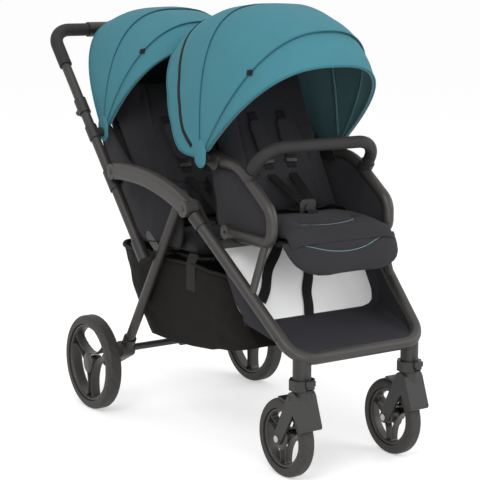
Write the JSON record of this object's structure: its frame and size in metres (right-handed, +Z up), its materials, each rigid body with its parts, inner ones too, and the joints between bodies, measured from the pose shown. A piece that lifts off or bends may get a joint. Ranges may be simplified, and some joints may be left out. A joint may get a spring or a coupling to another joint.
{
  "type": "tandem double stroller",
  "caption": "Folding tube-frame stroller with seats in line, reclining backs, hooped canopies, swing bumper bar, swivel front casters, basket and push handle.",
  "frame": {"origin": "centre of the bounding box on the floor under the wheels", "axes": "+Z up, the front at -Y, the push handle at +Y, +X to the left of a child facing the front; left and right in the names are as seen from the front, so left is at -X"},
  "size_m": [0.552, 1.0957, 1.0647],
  "materials": {
    "frame_tube": "satin",
    "armrest_shell": "satin",
    "moulded_plastic": "satin",
    "tyre_rubber": "matte",
    "foam_grip": "matte",
    "soft_button": "matte",
    "axle_steel": "satin",
    "seat_fabric": "matte",
    "basket_fabric": "matte",
    "canopy_fabric": "matte"
  },
  "bodies": {
    "front_frame": {"front_leg_frame": "frame_tube", "leg_hinge_left": "moulded_plastic", "leg_hinge_right": "moulded_plastic", "caster_housing_left": "moulded_plastic", "caster_housing_right": "moulded_plastic", "front_seat_frame": "frame_tube", "front_seat_base": "moulded_plastic", "front_seat_pad": "seat_fabric", "front_seat_wings": "seat_fabric", "bumper_sockets": "moulded_plastic", "front_buckle": "moulded_plastic", "front_canopy_hubs": "moulded_plastic", "front_canopy_rear": "canopy_fabric", "basket": "basket_fabric", "footwell": "basket_fabric"},
    "armrests": {"armrest_left": "armrest_shell", "armrest_right": "armrest_shell"},
    "handle_frame": {"pusher_frame": "frame_tube", "pusher_clamps": "moulded_plastic", "handle_grip_left": "foam_grip", "handle_grip_right": "foam_grip", "release_housing": "moulded_plastic", "stud_collars": "moulded_plastic", "rear_seat_frame": "frame_tube", "rear_seat_pad": "seat_fabric", "rear_seat_wings": "seat_fabric", "rear_buckle": "moulded_plastic", "rear_canopy_rear": "canopy_fabric"},
    "rear_legs": {"rear_leg_frame": "frame_tube", "rear_bracket_left": "moulded_plastic", "rear_bracket_right": "moulded_plastic", "rear_axles": "axle_steel"},
    "rear_wheel_left": {"rear_rim_left": "moulded_plastic", "rear_tyre_left": "tyre_rubber"},
    "rear_wheel_right": {"rear_rim_right": "moulded_plastic", "rear_tyre_right": "tyre_rubber"},
    "brake": {"brake_pedal": "moulded_plastic"},
    "caster_left": {"fork_left": "moulded_plastic", "front_axle_left": "axle_steel"},
    "caster_right": {"fork_right": "moulded_plastic", "front_axle_right": "axle_steel"},
    "front_wheel_left": {"front_rim_left": "moulded_plastic", "front_tyre_left": "tyre_rubber"},
    "front_wheel_right": {"front_rim_right": "moulded_plastic", "front_tyre_right": "tyre_rubber"},
    "lock_left": {"swivel_lock_left": "moulded_plastic"},
    "lock_right": {"swivel_lock_right": "moulded_plastic"},
    "front_backrest": {"front_back_board": "moulded_plastic", "front_back_pad": "seat_fabric"},
    "rear_backrest": {"rear_back_board": "moulded_plastic", "rear_back_pad": "seat_fabric"},
    "calf_rest": {"leg_rest": "seat_fabric"},
    "bumper": {"bumper_bar": "foam_grip"},
    "front_hood_visor": {"front_canopy_visor": "canopy_fabric"},
    "front_hood_middle": {"front_canopy_middle": "canopy_fabric"},
    "rear_hood_visor": {"rear_canopy_visor": "canopy_fabric"},
    "rear_hood_middle": {"rear_canopy_middle": "canopy_fabric"},
    "trigger": {"release_trigger": "soft_button"},
    "front_button": {"front_buckle_button": "soft_button"},
    "rear_button": {"rear_buckle_button": "soft_button"}
  },
  "joints": [
    {"name": "frame_fold", "type": "hinge", "parent": "front_frame", "child": "armrests", "pos_m": [0, -0.16437, 0.588], "axis": [-1, 0, 0], "range_deg": [0, 35], "deforming": ["basket"]},
    {"name": "handle_pivot", "type": "hinge", "parent": "armrests", "child": "handle_frame", "pos_m": [0, 0.1794, 0.63933], "axis": [-1, 0, 0], "range_deg": [-35.5, 0]},
    {"name": "rear_leg_pivot", "type": "hinge", "parent": "front_frame", "child": "rear_legs", "pos_m": [0, -0.07137, 0.6], "axis": [-1, 0, 0], "range_deg": [0, 74.85]},
    {"name": "rear_wheel_left_spin", "type": "hinge", "parent": "rear_legs", "child": "rear_wheel_left", "pos_m": [-0.254, 0.28963, 0.124], "axis": [1, 0, 0], "continuous": true},
    {"name": "rear_wheel_right_spin", "type": "hinge", "parent": "rear_legs", "child": "rear_wheel_right", "pos_m": [0.254, 0.28963, 0.124], "axis": [1, 0, 0], "continuous": true},
    {"name": "brake_press", "type": "hinge", "parent": "rear_legs", "child": "brake", "pos_m": [0, 0.20737, 0.17003], "axis": [1, 0, 0], "range_deg": [-20, 0]},
    {"name": "caster_left_swivel", "type": "hinge", "parent": "front_frame", "child": "caster_left", "pos_m": [-0.155, -0.50637, 0.2], "axis": [0, 0, 1], "continuous": true},
    {"name": "caster_right_swivel", "type": "hinge", "parent": "front_frame", "child": "caster_right", "pos_m": [0.155, -0.50637, 0.2], "axis": [0, 0, 1], "continuous": true},
    {"name": "front_wheel_left_spin", "type": "hinge", "parent": "caster_left", "child": "front_wheel_left", "pos_m": [-0.155, -0.44837, 0.0915], "axis": [1, 0, 0], "continuous": true},
    {"name": "front_wheel_right_spin", "type": "hinge", "parent": "caster_right", "child": "front_wheel_right", "pos_m": [0.155, -0.44837, 0.0915], "axis": [1, 0, 0], "continuous": true},
    {"name": "lock_left_slide", "type": "slide", "parent": "front_frame", "child": "lock_left", "axis": [0, 0, 1], "range_m": [-0.005, 0]},
    {"name": "lock_right_slide", "type": "slide", "parent": "front_frame", "child": "lock_right", "axis": [0, 0, 1], "range_m": [-0.005, 0]},
    {"name": "front_recline", "type": "hinge", "parent": "front_frame", "child": "front_backrest", "pos_m": [0, -0.22737, 0.535], "axis": [1, 0, 0], "range_deg": [-22, 0]},
    {"name": "rear_recline", "type": "hinge", "parent": "handle_frame", "child": "rear_backrest", "pos_m": [0, 0.118, 0.47846], "axis": [1, 0, 0], "range_deg": [-20, 0]},
    {"name": "calf_rest_lift", "type": "hinge", "parent": "front_frame", "child": "calf_rest", "pos_m": [0, -0.42687, 0.537], "axis": [1, 0, 0], "range_deg": [-50, 0]},
    {"name": "bumper_swing", "type": "hinge", "parent": "front_frame", "child": "bumper", "pos_m": [-0.167, -0.31125, 0.66734], "axis": [0, -0.5779, 0.8161], "range_deg": [-95, 0]},
    {"name": "front_visor_fold", "type": "hinge", "parent": "front_frame", "child": "front_hood_visor", "pos_m": [0, -0.16537, 0.705], "axis": [1, 0, 0], "range_deg": [-75, 0]},
    {"name": "front_hood_fold", "type": "hinge", "parent": "front_frame", "child": "front_hood_middle", "pos_m": [0, -0.16537, 0.705], "axis": [1, 0, 0], "range_deg": [-39.5, 0]},
    {"name": "rear_visor_fold", "type": "hinge", "parent": "handle_frame", "child": "rear_hood_visor", "pos_m": [0, 0.30347, 0.726], "axis": [1, 0, 0], "range_deg": [-52, 0]},
    {"name": "rear_hood_fold", "type": "hinge", "parent": "handle_frame", "child": "rear_hood_middle", "pos_m": [0, 0.30347, 0.726], "axis": [1, 0, 0], "range_deg": [-32.5, 0]},
    {"name": "trigger_squeeze", "type": "slide", "parent": "handle_frame", "child": "trigger", "axis": [0, -0.66, -0.7513], "range_m": [-0.005, 0], "stiffness_N_per_m": 300},
    {"name": "front_button_press", "type": "slide", "parent": "front_frame", "child": "front_button", "axis": [0, -1, 0], "range_m": [-0.003, 0], "stiffness_N_per_m": 400},
    {"name": "rear_button_press", "type": "slide", "parent": "handle_frame", "child": "rear_button", "axis": [0, -1, 0], "range_m": [-0.003, 0], "stiffness_N_per_m": 400}
  ],
  "couplings": [
    {"joint": "handle_pivot", "follows": "frame_fold", "ratio": -1},
    {"joint": "rear_leg_pivot", "follows": "frame_fold", "ratio": 2.1244},
    {"joint": "front_hood_fold", "follows": "front_visor_fold", "ratio": 0.52},
    {"joint": "rear_hood_fold", "follows": "rear_visor_fold", "ratio": 0.615}
  ]
}
